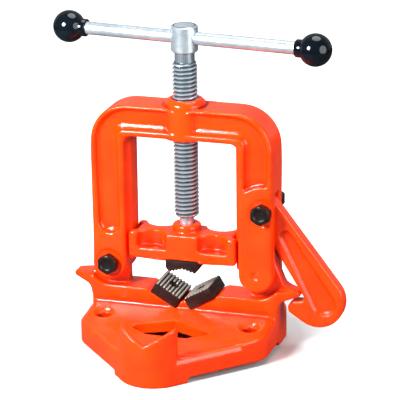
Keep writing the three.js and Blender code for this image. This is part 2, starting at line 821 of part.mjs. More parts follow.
function makeUpperJawScrew() {
  const screw = jawScrew(upperJawTop - upperScrewSeat + seatGap, jawScrewGrip);
  return screw.rotate([180, 0, 0]).translate([0, 0, upperJawTop]);
}

const finishes = {
  paint: { color: 0xe8511c, metalness: 0.0, roughness: 0.35 },
  jaw: { color: 0x3b2f2a, metalness: 0.6, roughness: 0.55 },
  plated: { color: 0xc3c6c8, metalness: 0.9, roughness: 0.35 },
  black: { color: 0x26262a, metalness: 0.7, roughness: 0.45 },
  knob: { color: 0x0d0d0e, metalness: 0.0, roughness: 0.15 },
};

const vise = new THREE.Group();
vise.name = 'pipe_vise';

function addPiece(name, piece, finish) {
  const { vertProperties, triVerts } = piece.getMesh();
  const geometry = new THREE.BufferGeometry();
  geometry.setAttribute('position', new THREE.BufferAttribute(vertProperties, 3));
  geometry.setIndex(new THREE.BufferAttribute(triVerts, 1));
  geometry.computeVertexNormals();
  const mesh = new THREE.Mesh(geometry, new THREE.MeshStandardMaterial(finishes[finish]));
  mesh.name = name;
  vise.add(mesh);
}

addPiece('base_casting', makeBase(), 'paint');
addPiece('lower_jaw_right', makeLowerJaw(), 'jaw');
addPiece('lower_jaw_left', makeLowerJaw().mirror([1, 0, 0]), 'jaw');
addPiece('lower_jaw_screw_right', makeLowerJawScrew(), 'black');
addPiece('lower_jaw_screw_left', makeLowerJawScrew().mirror([1, 0, 0]), 'black');
addPiece('yoke_casting', makeYoke(), 'paint');
addPiece('hinge_bolt', makeBolt(-hingeX, hingeZ), 'black');
addPiece('hinge_spring_washer', makeWasher(-hingeX, hingeZ), 'black');
addPiece('hinge_nut', makeNut(-hingeX, hingeZ), 'black');
addPiece('latch_bolt', makeBolt(latchX, latchZ), 'black');
addPiece('latch_spring_washer', makeWasher(latchX, latchZ), 'black');
addPiece('latch_nut', makeNut(latchX, latchZ), 'black');
addPiece('latch_hook', makeLatch(), 'paint');
addPiece('crosshead_casting', makeCrosshead(), 'paint');
addPiece('upper_jaw', makeUpperJaw(), 'jaw');
addPiece('upper_jaw_screw', makeUpperJawScrew(), 'black');
addPiece('retaining_pin_left', makePin(-1), 'plated');
addPiece('retaining_pin_right', makePin(1), 'plated');
addPiece('clamp_screw', makeScrew(), 'plated');
addPiece('handle_bar', makeBar(), 'plated');
addPiece('handle_knob_left', makeKnob(-1), 'knob');
addPiece('handle_knob_right', makeKnob(1), 'knob');

export default vise;
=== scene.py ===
"""Looks of a bench yoke pipe vise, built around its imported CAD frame."""

import math

import bmesh
import bpy
from bpy.props import FloatProperty, IntProperty, PointerProperty, StringProperty
from mathutils import Matrix, Vector


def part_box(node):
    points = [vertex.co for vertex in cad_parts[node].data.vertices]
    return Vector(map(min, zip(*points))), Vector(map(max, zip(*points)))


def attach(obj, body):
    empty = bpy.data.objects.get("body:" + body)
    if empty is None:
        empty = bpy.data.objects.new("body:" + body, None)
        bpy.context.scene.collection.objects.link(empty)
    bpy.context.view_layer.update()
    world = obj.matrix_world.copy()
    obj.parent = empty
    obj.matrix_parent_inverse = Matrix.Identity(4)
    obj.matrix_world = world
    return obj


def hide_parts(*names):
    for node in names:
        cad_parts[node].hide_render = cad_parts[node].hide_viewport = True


bl_info = {
    "name": "Yoke Pipe Vise",
    "version": (1, 0, 0),
    "blender": (4, 5, 0),
    "location": "View3D > Sidebar > Vise",
    "description": "Builds the painted castings, jaws, screw, handle and stage of a yoke pipe vise",
    "category": "Mesh",
}

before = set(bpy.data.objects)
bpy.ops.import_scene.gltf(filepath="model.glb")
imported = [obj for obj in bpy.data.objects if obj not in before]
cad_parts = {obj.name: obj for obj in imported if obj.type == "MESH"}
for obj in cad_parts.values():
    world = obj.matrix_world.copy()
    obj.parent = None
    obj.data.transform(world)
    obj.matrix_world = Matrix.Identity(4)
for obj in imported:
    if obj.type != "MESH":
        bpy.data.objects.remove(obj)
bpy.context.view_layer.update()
MM = 0.001
# Makes a Mix node blend colours, with inputs 6 and 7 and output 2.
BLEND = {"data_type": "RGBA"}


def middle(node):
    """Centre of a CAD node's box."""
    low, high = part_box(node)
    return (low + high) / 2


class ViseSizes(bpy.types.PropertyGroup):
    """Sizes a user would change; most others are the frame's."""

    cast_voxel: FloatProperty(
        name="Casting grain",
        description="Cell size in which the castings are reshaped, which also rounds their edges",
        default=0.85 * MM,
        unit="LENGTH",
    )
    cast_passes: IntProperty(
        name="Casting smoothing",
        description="Smoothing passes over a casting's surface",
        default=4,
    )
    arch_growth: FloatProperty(
        name="Arch growth",
        description="How much the yoke's arch stands out past the frame's",
        default=2.4 * MM,
        unit="LENGTH",
    )
    rim_passes: IntProperty(
        name="Rim smoothing",
        description="Further smoothing passes along the yoke's outer edges",
        default=18,
    )
    thread_pitch: FloatProperty(
        name="Thread pitch",
        description="Rise of the clamping screw in one turn",
        default=3.25 * MM,
        unit="LENGTH",
    )
    thread_depth: FloatProperty(
        name="Thread depth",
        description="Crest to root of the clamping screw's thread",
        default=1.55 * MM,
        unit="LENGTH",
    )
    bolt_pitch: FloatProperty(
        name="Bolt pitch",
        description="Rise of a bolt's thread in one turn",
        default=1.5 * MM,
        unit="LENGTH",
    )
    jaw_edge: FloatProperty(
        name="Jaw edge",
        description="Width of the broken edges on the jaws",
        default=0.22 * MM,
        unit="LENGTH",
    )
    dish_depth: FloatProperty(
        name="Bolt dish",
        description="Depth of the round dish in a bolt's head",
        default=1.1 * MM,
        unit="LENGTH",
    )


class ViseFinish(bpy.types.PropertyGroup):
    """Colours as sRGB hex values."""

    paint: StringProperty(name="Paint", description="Orange enamel on the castings", default="F43C05")
    paint_deep: StringProperty(name="Deep paint", description="Thicker enamel", default="EE3303")
    # Painted shade: the colour that darkens the enamel in hollows and creases.
    painted_hollow_shade: StringProperty(name="Painted hollow shade", description="Enamel painted darker in recesses as shade", default="8E1000")
    jaw: StringProperty(name="Jaw", description="Heat-treated jaw steel", default="1C0D08")
    jaw_dark: StringProperty(name="Dark jaw", description="Darker patches of the jaws", default="130D0B")
    crest: StringProperty(name="Tooth crest", description="Ground crests of the teeth", default="B9B4AB")
    zinc: StringProperty(name="Zinc", description="Bright zinc plate", default="CFDAE2")
    zinc_cloud: StringProperty(name="Zinc cloud", description="Zinc where it has dulled", default="B3C2CC")
    # Painted shade: the colour that darkens the roots of the screw's thread.
    thread_root_shade: StringProperty(name="Thread root shade", description="Roots of the screw's thread, painted darker as shade", default="56666E")
    black: StringProperty(name="Black oxide", description="Bolts, nuts and small screws", default="33302F")
    black_deep: StringProperty(name="Deep black oxide", description="Thicker oxide", default="1B1A1B")
    # Painted reflection: both knob colours are tinted bluish to stand in for the room's reflections.
    knob: StringProperty(name="Knob", description="Moulded black phenolic", default="04070B")
    knob_sheen: StringProperty(name="Knob sheen", description="Phenolic with painted bluish sheen, paler at random", default="09121A")


class ViseStage(bpy.types.PropertyGroup):
    """Camera and light."""

    azimuth: FloatProperty(
        name="Azimuth",
        description="Camera's turn to the right of the front",
        default=math.radians(17.558),
        subtype="ANGLE",
    )
    elevation: FloatProperty(
        name="Elevation",
        description="Camera's height above the horizon",
        default=math.radians(18.628),
        subtype="ANGLE",
    )
    roll: FloatProperty(
        name="Roll",
        description="Camera's turn about its line of sight",
        default=math.radians(-0.696),
        subtype="ANGLE",
    )
    distance: FloatProperty(name="Distance", description="Camera to aim", default=1.714, unit="LENGTH")
    lens: FloatProperty(name="Lens", description="Focal length in millimetres", default=200.34)
    aim_x: FloatProperty(name="Aim X", description="Aim point across", default=10.81 * MM, unit="LENGTH")
    aim_z: FloatProperty(name="Aim Z", description="Aim point's height", default=112.65 * MM, unit="LENGTH")
    room_front: FloatProperty(name="Room front", description="Light of the room in front", default=0.09)
    room_back: FloatProperty(name="Room back", description="Light of the backdrop behind it", default=0.4)
    key: FloatProperty(name="Key", description="Power of the main lamp", default=17.0, unit="POWER")
    fill: FloatProperty(name="Fill", description="Power of the right lamp", default=15.0, unit="POWER")
    top: FloatProperty(name="Top", description="Power of the lamp overhead", default=11.0, unit="POWER")


def linear(code):
    """An sRGB hex value as a linear RGBA colour."""
    channels = []
    for place in (0, 2, 4):
        level = int(code[place:place + 2], 16) / 255
        channels.append(level / 12.92 if level <= 0.04045 else ((level + 0.055) / 1.055) ** 2.4)
    return (*channels, 1.0)


def wire(tree, node, **inputs):
    """Sets a node's inputs by name or number; each is a value, or an output socket to link from."""
    for key, value in inputs.items():
        socket = node.inputs[int(key[1:])] if key[0] == "_" else node.inputs[key.replace("_", " ")]
        if isinstance(value, bpy.types.NodeSocket):
            tree.links.new(value, socket)
        else:
            socket.default_value = value
    return node


def add_node(tree, kind, output=0, settings=None, **inputs):
    """Adds a node with its settings and links, and gives one of its output sockets."""
    node = tree.nodes.new("ShaderNode" + kind)
    for key, value in (settings or {}).items():
        setattr(node, key, value)
    return wire(tree, node, **inputs).outputs[output]


def per_mm(size):
    """Texture scale that gives features of that size in millimetres."""
    return 1 / (size * MM)


def new_material(name):
    """A material with its node tree, its shader and the object's own coordinates."""
    material = bpy.data.materials.new(name)
    material.use_nodes = True
    tree = material.node_tree
    return material, tree, tree.nodes["Principled BSDF"], add_node(tree, "TexCoord", "Object")


def enamel(finish):
    """Glossy enamel sprayed on sand-cast iron: thicker in random patches, painted darker in hollows as shade,
    and showing the casting's grain.
    """
    material, tree, shader, place = new_material("orange_enamel")
    pools = add_node(tree, "TexNoise", "Fac", Vector=place, Scale=per_mm(22))
    pools = add_node(tree, "MapRange", _0=pools, _1=0.35, _2=0.7)
    paint = add_node(tree, "Mix", 2, BLEND, _0=pools, _6=linear(finish.paint), _7=linear(finish.paint_deep))
    # Painted shade: ambient occlusion darkens the enamel towards the hollow shade colour in hollows and
    # creases.
    clear = add_node(tree, "AmbientOcclusion", "AO", {"samples": 8, "only_local": True}, Distance=11 * MM)
    clear = add_node(tree, "MapRange", _0=clear, _1=0.45, _2=0.97)
    paint = add_node(tree, "Mix", 2, BLEND, _0=clear, _6=linear(finish.painted_hollow_shade), _7=paint)
    # Moulding sand is nearer 0.3 mm; its grain is drawn coarser so that it shows.
    grain = add_node(tree, "TexNoise", "Fac", Vector=place, Scale=per_mm(1.6), Detail=3)
    swell = add_node(tree, "TexNoise", "Fac", Vector=place, Scale=per_mm(6.5))
    gloss = add_node(tree, "MapRange", _0=swell, _1=0.3, _2=0.7, _3=0.1, _4=0.17)
    fine = add_node(tree, "Bump", Strength=0.55, Distance=0.4 * MM, Height=grain)
    broad = add_node(tree, "Bump", Strength=0.22, Distance=0.8 * MM, Height=swell, Normal=fine)
    wire(tree, shader, Base_Color=paint, Roughness=gloss, Normal=broad, IOR=1.5, Specular_IOR_Level=0.4)
    return material


def tooth_steel(finish, name, slope, crest, sign):
    """Heat-treated steel, brown-black from the quench, ground bright on the tooth crests."""
    material, tree, shader, place = new_material(name)
    across = add_node(tree, "SeparateXYZ", "X", Vector=place)
    side = add_node(tree, "Math", 0, {"operation": "ABSOLUTE"}, _0=across)
    lean = add_node(tree, "Math", 0, {"operation": "MULTIPLY"}, _0=side, _1=-sign * math.sin(slope))
    height = add_node(tree, "SeparateXYZ", "Z", Vector=place)
    upright = sign * math.cos(slope)
    rise = add_node(tree, "Math", 0, {"operation": "MULTIPLY_ADD"}, _0=height, _1=upright, _2=lean)
    scuff = add_node(tree, "TexNoise", "Fac", Vector=place, Scale=per_mm(3), Detail=3)
    worn = add_node(tree, "Math", 0, {"operation": "MULTIPLY_ADD"}, _0=scuff, _1=0.5 * MM, _2=rise)
    bright = add_node(tree, "MapRange", _0=worn, _1=crest - 0.55 * MM, _2=crest + 0.1 * MM)
    cloud = add_node(tree, "TexNoise", "Fac", Vector=place, Scale=per_mm(5))
    dark = add_node(tree, "Mix", 2, BLEND, _0=cloud, _6=linear(finish.jaw), _7=linear(finish.jaw_dark))
    colour = add_node(tree, "Mix", 2, BLEND, _0=bright, _6=dark, _7=linear(finish.crest))
    gloss = add_node(tree, "MapRange", _0=scuff, _1=0.3, _2=0.7, _3=0.34, _4=0.55)
    grit = add_node(tree, "TexNoise", "Fac", Vector=place, Scale=per_mm(0.9))
    grit = add_node(tree, "Bump", Strength=0.25, Distance=0.12 * MM, Height=grit)
    wire(tree, shader, Base_Color=colour, Roughness=gloss, Normal=grit, Metallic=0.4)
    return material


def zinc_plate(finish, name, stretch, root=0, crest=0):
    """Bright zinc on turned or drawn steel: marks lie round or along it, and a thread's roots are painted
    darker as shade.
    """
    material, tree, shader, place = new_material(name)
    # Tool marks are nearer 0.05 mm; they are drawn coarser so that they show.
    stretched = add_node(tree, "Mapping", Vector=place, Scale=[1 / size for size in stretch])
    marks = add_node(tree, "TexNoise", "Fac", Vector=stretched, Scale=per_mm(1), Detail=3)
    cloud = add_node(tree, "TexNoise", "Fac", Vector=place, Scale=per_mm(12))
    cloud = add_node(tree, "MapRange", _0=cloud, _1=0.3, _2=0.7)
    colour = add_node(tree, "Mix", 2, BLEND, _0=cloud, _6=linear(finish.zinc), _7=linear(finish.zinc_cloud))
    # Painted shade: the thread's roots are darkened towards the root shade colour.
    if crest > root:
        flat = add_node(tree, "VectorMath", 0, {"operation": "MULTIPLY"}, _0=place, _1=(1, 1, 0))
        reach = add_node(tree, "VectorMath", "Value", {"operation": "LENGTH"}, _0=flat)
        beyond = add_node(tree, "MapRange", _0=reach, _1=root - 0.6 * MM, _2=root - 0.3 * MM)
        below = add_node(tree, "MapRange", _0=reach, _1=crest - 0.25 * MM, _2=root + 0.2 * MM)
        root_shade_mask = add_node(tree, "Math", 0, {"operation": "MULTIPLY"}, _0=beyond, _1=below)
        colour = add_node(tree, "Mix", 2, BLEND, _0=root_shade_mask, _6=colour, _7=linear(finish.thread_root_shade))
    gloss = add_node(tree, "MapRange", _0=marks, _1=0.3, _2=0.7, _3=0.26, _4=0.38)
    scratch = add_node(tree, "Bump", Strength=0.06, Distance=0.06 * MM, Height=marks)
    wire(tree, shader, Base_Color=colour, Roughness=gloss, Normal=scratch, Metallic=0.78)
    return material


def black_oxide(finish):
    """Oiled black oxide on forged steel: near black, satin, with a faint brown cast."""
    material, tree, shader, place = new_material("black_oxide")
    cloud = add_node(tree, "TexNoise", "Fac", Vector=place, Scale=per_mm(4))
    colour = add_node(tree, "Mix", 2, BLEND, _0=cloud, _6=linear(finish.black), _7=linear(finish.black_deep))
    scale = add_node(tree, "TexNoise", "Fac", Vector=place, Scale=per_mm(2))
    gloss = add_node(tree, "MapRange", _0=scale, _1=0.3, _2=0.7, _3=0.28, _4=0.46)
    wire(tree, shader, Base_Color=colour, Roughness=gloss, Metallic=0.8)
    return material


def phenolic(finish):
    """Compression-moulded black phenolic, polished: deep gloss with a slight waviness, its colour tinted
    bluish as a painted reflection.
    """
    material, tree, shader, place = new_material("black_phenolic")
    cloud = add_node(tree, "TexNoise", "Fac", Vector=place, Scale=per_mm(9))
    # Painted reflection: the bluish knob colours stand in for reflections; the paler one comes in at random.
    colour = add_node(tree, "Mix", 2, BLEND, _0=cloud, _6=linear(finish.knob), _7=linear(finish.knob_sheen))
    waves = add_node(tree, "TexNoise", "Fac", Vector=place, Scale=per_mm(7))
    waves = add_node(tree, "Bump", Strength=0.05, Distance=0.2 * MM, Height=waves)
    wire(tree, shader, Base_Color=colour, Normal=waves, Roughness=0.09, IOR=1.5, Specular_IOR_Level=0.3)
    return material


def copy_of(node):
    """A merged bmesh copy of a CAD node."""
    shell = bmesh.new()
    shell.from_mesh(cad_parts[node].data)
    bmesh.ops.remove_doubles(shell, verts=shell.verts, dist=0.002 * MM)
    return shell


def put_in_scene(shell, name, body, material, smooth_angle=35):
    """Makes a finished piece of a bmesh and hangs it on its body."""
    mesh = bpy.data.meshes.new(name)
    for face in shell.faces:
        face.smooth = True
    for edge in shell.edges:
        edge.smooth = len(edge.link_faces) == 2 and edge.calc_face_angle(0) < math.radians(smooth_angle)
    shell.to_mesh(mesh)
    shell.free()
    piece = bpy.data.objects.new(name, mesh)
    bpy.context.scene.collection.objects.link(piece)
    mesh.materials.append(material)
    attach(piece, body)
    return piece


def coat(nodes, material):
    """Gives CAD nodes that stay as they are a material."""
    for node in nodes:
        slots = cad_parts[node].data.materials
        slots.clear()
        slots.append(material)


def soften(shell, verts, passes):
    """Smooths some points of a bmesh a number of times."""
    for _ in range(passes):
        bmesh.ops.smooth_vert(
            shell, verts=verts, factor=0.5, use_axis_x=True, use_axis_y=True, use_axis_z=True
        )


def cut_off(shell, height, outward):
    """Removes what lies past a level, upwards for 1 and downwards for -1, and closes the cut."""
    cut = bmesh.ops.bisect_plane(
        shell,
        geom=shell.verts[:] + shell.edges[:] + shell.faces[:],
        plane_co=(0, 0, height),
        plane_no=(0, 0, outward),
        clear_outer=True,
        dist=0.001 * MM,
    )
    rim = [item for item in cut["geom_cut"] if isinstance(item, bmesh.types.BMEdge)]
    if rim:
        bmesh.ops.contextual_create(shell, geom=rim)


def share(value, low, high):
    """How far a value lies between two limits, from 0 to 1."""
    return min(max((value - low) / (high - low), 0), 1)


def yoke_inset(place):
    """Depth of a point below the yoke's outer outline, and the way out of it in X and Z."""
    top, side, flare, hinge, bend = 186.3 * MM, 69.5 * MM, 3.5 * MM, 60 * MM, 28 * MM
    across, rise = abs(place.x) - side + bend, place.z - top + bend
    if rise <= 0:
        return side + flare * (top - place.z) / (top - hinge) - abs(place.x), Vector((1, 0))
    out = Vector((max(across, 0), rise))
    return bend - out.length, out.normalized()


def full_yoke(shell, sizes):
    """Fills out the yoke's arch past the frame's and rounds its outer rim."""
    rim_width, boss_reach, rim_front, rim_foot = 5 * MM, 20 * MM, 8 * MM, 60 * MM
    rim = []
    for vert in shell.verts:
        place = vert.co.copy()
        inset, out = yoke_inset(place)
        edge = inset < rim_width and abs(place.y) > rim_front
        if edge and abs(place.x) > boss_reach and place.z > rim_foot:
            rim.append(vert)
        # The growth fades out towards the window, down the legs and at the boss.
        outer = share(-inset, -24 * MM, -12 * MM)
        upper = share(place.z, 75 * MM, 150 * MM)
        off_boss = share(place.xy.length, 15.6 * MM, 18 * MM)
        grow = sizes.arch_growth * outer * (upper * off_boss)
        vert.co.x += math.copysign(grow * out.x, place.x)
        vert.co.z += grow * out.y
    soften(shell, rim, sizes.rim_passes)


def cast(node, name, body, sizes, material, reshape=None):
    """A casting: the CAD form with its edges and hollows rounded as sand and paint leave them."""
    piece = put_in_scene(copy_of(node), name, body, material)
    remesh = piece.modifiers.new("grain", "REMESH")
    remesh.mode = "VOXEL"
    remesh.voxel_size = sizes.cast_voxel
    depsgraph = bpy.context.evaluated_depsgraph_get()
    fine = bmesh.new()
    fine.from_mesh(piece.evaluated_get(depsgraph).to_mesh())
    piece.modifiers.clear()
    soften(fine, fine.verts, sizes.cast_passes)
    if reshape:
        reshape(fine, sizes)
    for face in fine.faces:
        face.smooth = True
    fine.to_mesh(piece.data)
    fine.free()
    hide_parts(node)
    return piece


def outline(shell, points):
    """An open chain of edges through the points."""
    verts = [shell.verts.new(point) for point in points]
    edges = [shell.edges.new(pair) for pair in zip(verts, verts[1:])]
    return verts + edges


def lathe(shell, profile, steps=64):
    """Turns (radius, height) points about Z into a closed skin."""
    chain = outline(shell, [(radius, 0, height) for radius, height in profile])
    bmesh.ops.spin(
        shell,
        geom=chain,
        cent=(0, 0, 0),
        axis=(0, 0, 1),
        angle=2 * math.pi,
        steps=steps,
        use_merge=True,
        use_duplicate=False,
    )
    bmesh.ops.remove_doubles(shell, verts=shell.verts, dist=0.003 * MM)
    bmesh.ops.recalc_face_normals(shell, faces=shell.faces)


def threaded(shell, radius, depth, pitch, bottom, top, lead, steps=36):
    """A right-hand thread about Z between two heights, with led-in ends."""
    crest, flank = 0.2 * pitch, 0.3 * pitch
    root = radius - depth
    start = bottom - 2 * pitch
    turns = math.ceil((top - start) / pitch) + 1
    chain = outline(
        shell,
        [
            (root, 0, start),
            (root, 0, start + crest),
            (radius, 0, start + crest + flank),
            (radius, 0, start + 2 * crest + flank),
            (root, 0, start + pitch),
        ],
    )
    bmesh.ops.spin(
        shell,
        geom=chain,
        cent=(0, 0, 0),
        axis=(0, 0, 1),
        dvec=(0, 0, pitch / steps),
        angle=2 * math.pi * turns,
        steps=steps * turns,
        use_duplicate=False,
    )
    bmesh.ops.remove_doubles(shell, verts=shell.verts, dist=0.01 * MM)
    cut_off(shell, bottom, -1)
    cut_off(shell, top, 1)
    for vert in shell.verts:
        inside = min(vert.co.z - bottom, top - vert.co.z)
        reach = vert.co.xy.length
        limit = radius - lead + inside
        if reach > limit > 0:
            vert.co.xy *= limit / reach
    bmesh.ops.recalc_face_normals(shell, faces=shell.faces)


def join(target, source):
    """Adds one bmesh to another."""
    holder = bpy.data.meshes.new("joined")
    source.to_mesh(holder)
    source.free()
    target.from_mesh(holder)
    bpy.data.meshes.remove(holder)


def slice_of(node, low, high):
    """The part of a CAD node between two heights, closed at the cuts."""
    shell = copy_of(node)
    cut_off(shell, low, -1)
    cut_off(shell, high, 1)
    return shell


def hexagon(shell, across, low, high, dish):
    """A hexagon along Z with turned corners and, at its low end, a round dish."""
    corner = across / 2
    flat = corner * math.cos(math.pi / 6)
    drop = 0.5 * (corner - flat)
    profile = [
        (0, low + dish),
        (0.5 * flat, low + dish),
        (0.62 * flat, low + 0.7 * dish),
        (0.7 * flat, low),
        (0.96 * flat, low),
        (flat + drop, low + drop),
        (corner, low + 2 * drop),
        (corner, high - 2 * drop),
        (flat + drop, high - drop),
        (0.97 * flat, high),
        (0, high),
    ]
    lathe(shell, profile, 48)
    for vert in shell.verts:
        angle = math.atan2(vert.co.y, vert.co.x)
        limit = flat / math.cos((angle - math.pi / 2) % (math.pi / 3) - math.pi / 6)
        reach = vert.co.xy.length
        if reach > limit:
            vert.co.xy *= limit / reach


def along_y(x, z):
    """Lays a piece made about Z along Y, its low end to the front, through (x, z)."""
    return Matrix.Translation((x, 0, z)) @ Matrix.Rotation(-math.pi / 2, 4, "X")


def broken_edges(shell, width):
    """Merges flat facets and breaks the sharp edges."""
    bmesh.ops.dissolve_limit(
        shell,
        angle_limit=math.radians(0.6),
        verts=shell.verts,
        edges=shell.edges,
        use_dissolve_boundaries=False,
    )
    sharp = [edge for edge in shell.edges if edge.calc_face_angle(0) > math.radians(28)]
    bmesh.ops.bevel(
        shell,
        geom=sharp,
        offset=width,
        affect="EDGES",
        segments=2,
        profile=0.5,
        material=-1,
        clamp_overlap=True,
    )


def crest_level(node, slope, sign):
    """How far a node's teeth reach square to a face of that slope, upwards for 1 and downwards for -1."""
    return max(
        sign * (math.cos(slope) * vert.co.z - math.sin(slope) * abs(vert.co.x))
        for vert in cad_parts[node].data.vertices
    )


class VISE_OT_castings(bpy.types.Operator):
    """Make the painted base, yoke, latch hook and crosshead"""

    bl_idname = "vise.castings"
    bl_label = "Castings"

    def execute(self, context):
        sizes, finish = context.scene.vise_sizes, context.scene.vise_finish
        paint = enamel(finish)
        cast("base_casting", "painted_base", "base", sizes, paint)
        cast("yoke_casting", "painted_yoke", "yoke", sizes, paint, full_yoke)
        cast("latch_hook", "painted_latch_hook", "latch", sizes, paint)
        cast("crosshead_casting", "painted_crosshead", "crosshead", sizes, paint)
        return {"FINISHED"}


class VISE_OT_jaws(bpy.types.Operator):
    """Make the toothed jaws"""

    bl_idname = "vise.jaws"
    bl_label = "Jaws"

    def execute(self, context):
        sizes, finish = context.scene.vise_sizes, context.scene.vise_finish
        seat, vee = math.radians(30), math.radians(15.5)
        lower_crest = crest_level("lower_jaw_right", seat, 1)
        upper_crest = crest_level("upper_jaw", vee, -1)
        lower = tooth_steel(finish, "lower_jaw_steel", seat, lower_crest, 1)
        upper = tooth_steel(finish, "upper_jaw_steel", vee, upper_crest, -1)
        for node, body, steel in (
            ("lower_jaw_left", "base", lower),
            ("lower_jaw_right", "base", lower),
            ("upper_jaw", "crosshead", upper),
        ):
            shell = copy_of(node)
            broken_edges(shell, sizes.jaw_edge)
            piece = put_in_scene(shell, "toothed_" + node, body, steel, 30)
            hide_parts(node)
        return {"FINISHED"}


class VISE_OT_bolts(bpy.types.Operator):
    """Make the hinge and latch bolts and their nuts, and finish the small fasteners"""

    bl_idname = "vise.bolts"
    bl_label = "Bolts"

    def execute(self, context):
        sizes, finish = context.scene.vise_sizes, context.scene.vise_finish
        oxide = black_oxide(finish)
        # Sizes of the frame's bolts that their boxes don't give, and of their threads.
        radius, head_height, overlap = 5 * MM, 7.2 * MM, 1 * MM
        thread_depth, lead, nut_edge = 0.9 * MM, 1 * MM, 0.5 * MM
        for place in ("hinge", "latch"):
            bolt, nut = place + "_bolt", place + "_nut"
            low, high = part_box(bolt)
            thread_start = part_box(nut)[0].y
            centre = middle(bolt)
            head_top = low.y + head_height
            shank_start = head_top - overlap
            shell = bmesh.new()
            hexagon(shell, high.z - low.z, low.y, head_top, sizes.dish_depth)
            shank = bmesh.new()
            profile = [(0, shank_start), (radius, shank_start), (radius, thread_start), (0, thread_start)]
            lathe(shank, profile)
            join(shell, shank)
            tail = bmesh.new()
            threaded(tail, radius, thread_depth, sizes.bolt_pitch, thread_start, high.y, lead, 28)
            join(shell, tail)
            bmesh.ops.transform(shell, matrix=along_y(centre.x, centre.z), verts=shell.verts)
            piece = put_in_scene(shell, place + "_hex_bolt", "yoke", oxide)
            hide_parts(bolt)
            shell = copy_of(nut)
            broken_edges(shell, nut_edge)
            piece = put_in_scene(shell, place + "_hex_nut", "yoke", oxide)
            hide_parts(nut)
        coat(("hinge_spring_washer", "latch_spring_washer"), oxide)
        coat(("lower_jaw_screw_left", "lower_jaw_screw_right", "upper_jaw_screw"), oxide)
        return {"FINISHED"}


class VISE_OT_screw(bpy.types.Operator):
    """Make the threaded clamping screw and finish its retaining pins"""

    bl_idname = "vise.screw"
    bl_label = "Screw"

    def execute(self, context):
        sizes, finish = context.scene.vise_sizes, context.scene.vise_finish
        low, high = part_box("clamp_screw")
        # Sizes of the frame's screw that its box doesn't give.
        thread_low, thread_high, radius = 99.6 * MM, 222.5 * MM, 9.65 * MM
        shoulder, journal = 97 * MM, 5.5 * MM
        seam, tuck = 0.05 * MM, 0.1 * MM
        turned = zinc_plate(finish, "turned_zinc", (6, 6, 0.5), radius - sizes.thread_depth, radius)
        shell = slice_of("clamp_screw", thread_high + seam, high.z + MM)
        join(shell, slice_of("clamp_screw", low.z - MM, shoulder - seam))
        thread = bmesh.new()
        threaded(
            thread,
            radius,
            sizes.thread_depth,
            sizes.thread_pitch,
            thread_low,
            thread_high,
            sizes.thread_depth,
        )
        join(shell, thread)
        # A core fills the thread's hollow skin, lies just over its roots and meets the head.
        root = radius - sizes.thread_depth + tuck
        foot, crown = thread_low + tuck, thread_high + 0.06 * MM
        core = bmesh.new()
        profile = [
            (0, shoulder),
            (journal, shoulder),
            (journal, foot),
            (root, foot),
            (root, crown),
            (0, crown),
        ]
        lathe(core, profile)
        join(shell, core)
        piece = put_in_scene(shell, "threaded_screw", "screw", turned, 40)
        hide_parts("clamp_screw")
        coat(("retaining_pin_left", "retaining_pin_right"), turned)
        return {"FINISHED"}


def handle_matrix():
    """Frame of the handle, with Z along the bar and its origin at the bar's middle, and the bar's run."""
    ends = [middle("handle_knob_left"), middle("handle_knob_right")]
    run = (ends[1] - ends[0]).normalized()
    turn = Vector((0, 0, 1)).rotation_difference(run).to_matrix().to_4x4()
    return Matrix.Translation(middle("handle_bar")) @ turn, run


class VISE_OT_handle(bpy.types.Operator):
    """Make the sliding bar and its ball knobs"""

    bl_idname = "vise.handle"
    bl_label = "Handle"

    def execute(self, context):
        finish = context.scene.vise_finish
        matrix, run = handle_matrix()
        low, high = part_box("handle_bar")
        end_gap, edge = 0.6 * MM, 0.8 * MM
        half = (high.x - low.x) / 2 / run.x - end_gap
        radius = (high.z - low.z) / 2
        shell = bmesh.new()
        profile = [
            (0, -half),
            (radius - edge, -half),
            (radius, edge - half),
            (radius, half - edge),
            (radius - edge, half),
            (0, half),
        ]
        lathe(shell, profile)
        bmesh.ops.transform(shell, matrix=matrix, verts=shell.verts)
        drawn = zinc_plate(finish, "drawn_zinc", (9, 0.6, 0.6))
        piece = put_in_scene(shell, "drawn_bar", "handle", drawn)
        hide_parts("handle_bar")
        plastic = phenolic(finish)
        for side, node in ((-1, "handle_knob_left"), (1, "handle_knob_right")):
            shell = self.knob(half + end_gap)
            if side < 0:
                bmesh.ops.scale(shell, vec=(1, 1, -1), verts=shell.verts)
                bmesh.ops.recalc_face_normals(shell, faces=shell.faces)
            bmesh.ops.transform(shell, matrix=matrix, verts=shell.verts)
            piece = put_in_scene(shell, "ball_" + node, "handle", plastic, 50)
            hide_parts(node)
        return {"FINISHED"}

    def knob(self, centre):
        """A ball with a stepped collar round the bar's end."""
        ball, collar, bore, reach, edge = 12.45 * MM, 6.8 * MM, 5.15 * MM, 15.3 * MM, 0.6 * MM
        start = math.asin(collar / ball)
        shell = bmesh.new()
        chain = outline(
            shell,
            [
                (bore, 0, centre - 6 * MM),
                (bore, 0, centre - reach),
                (collar - edge, 0, centre - reach),
                (collar, 0, centre - reach + edge),
                (collar, 0, centre - ball * math.cos(start)),
            ],
        )
        bmesh.ops.spin(
            shell,
            geom=[chain[4]],
            cent=(0, 0, centre),
            axis=(0, -1, 0),
            angle=math.pi - start,
            steps=28,
            use_duplicate=False,
        )
        bmesh.ops.spin(
            shell,
            geom=shell.verts[:] + shell.edges[:],
            cent=(0, 0, 0),
            axis=(0, 0, 1),
            angle=2 * math.pi,
            steps=72,
            use_merge=True,
            use_duplicate=False,
        )
        bmesh.ops.remove_doubles(shell, verts=shell.verts, dist=0.005 * MM)
        bmesh.ops.holes_fill(shell, edges=[edge for edge in shell.edges if edge.is_boundary], sides=0)
        bmesh.ops.recalc_face_normals(shell, faces=shell.faces)
        return shell


